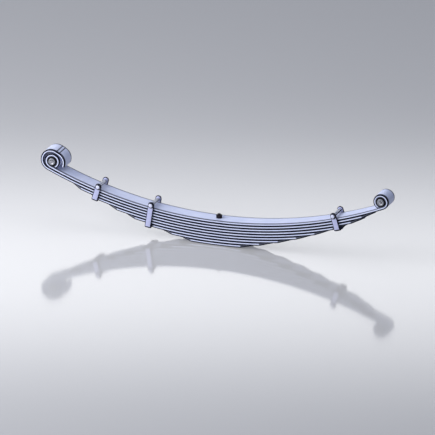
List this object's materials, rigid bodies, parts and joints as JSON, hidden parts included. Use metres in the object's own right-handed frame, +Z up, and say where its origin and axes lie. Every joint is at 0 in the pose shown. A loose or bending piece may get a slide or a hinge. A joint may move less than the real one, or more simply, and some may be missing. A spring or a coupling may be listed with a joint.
{
  "type": "leaf spring",
  "caption": "Semi-elliptic multi-leaf vehicle spring with upturned rubber-bushed eyes, a wrapped front eye, graduated trimmed leaves and bolted rebound clips.",
  "frame": {"origin": "on the centre bolt's axis at the underside of the shortest leaf, where the axle's spring seat goes", "axes": "+X along the spring to the shackle end, +Y across the leaves, +Z up from the axle seat to the main leaf"},
  "size_m": [1.4506, 0.1078, 0.3134],
  "materials": {
    "spring_steel": "satin blue-grey enamel over shot-peened spring steel",
    "clip_steel": "satin blue-grey enamel",
    "black_steel": "black oxide",
    "shell_steel": "dark phosphated steel",
    "rubber": "moulded black rubber",
    "bush_steel": "turned steel"
  },
  "bodies": {
    "spring": {"leaf_1_main": "spring_steel", "leaf_2_wrapper": "spring_steel", "leaf_3": "spring_steel", "leaf_4": "spring_steel", "leaf_5": "spring_steel", "leaf_6": "spring_steel", "leaf_7": "spring_steel", "leaf_8": "spring_steel", "leaf_9": "spring_steel", "centre_bolt": "black_steel", "centre_bolt_nut": "black_steel", "clip_front_outer_strap": "clip_steel", "clip_front_outer_rivet": "clip_steel", "clip_front_outer_bolt": "clip_steel", "clip_front_outer_spacer": "clip_steel", "clip_front_outer_nut": "clip_steel", "clip_front_inner_strap": "clip_steel", "clip_front_inner_rivet": "clip_steel", "clip_front_inner_bolt": "clip_steel", "clip_front_inner_spacer": "clip_steel", "clip_front_inner_nut": "clip_steel", "clip_rear_strap": "clip_steel", "clip_rear_rivet": "clip_steel", "clip_rear_bolt": "clip_steel", "clip_rear_spacer": "clip_steel", "clip_rear_nut": "clip_steel", "front_bush_shell": "shell_steel", "front_bush_rubber": "rubber", "rear_bush_shell": "shell_steel", "rear_bush_rubber": "rubber"},
    "front_sleeve": {"front_bush_sleeve": "bush_steel"},
    "rear_sleeve": {"rear_bush_sleeve": "bush_steel"}
  },
  "joints": [
    {"name": "front_bush_twist", "type": "hinge", "parent": "spring", "child": "front_sleeve", "pos_m": [-0.685, 0, 0.26421], "axis": [0, 1, 0], "range_deg": [-25, 25], "stiffness_Nm_per_rad": 90},
    {"name": "rear_bush_twist", "type": "hinge", "parent": "spring", "child": "rear_sleeve", "pos_m": [0.685, 0, 0.26421], "axis": [0, 1, 0], "range_deg": [-25, 25], "stiffness_Nm_per_rad": 90}
  ]
}
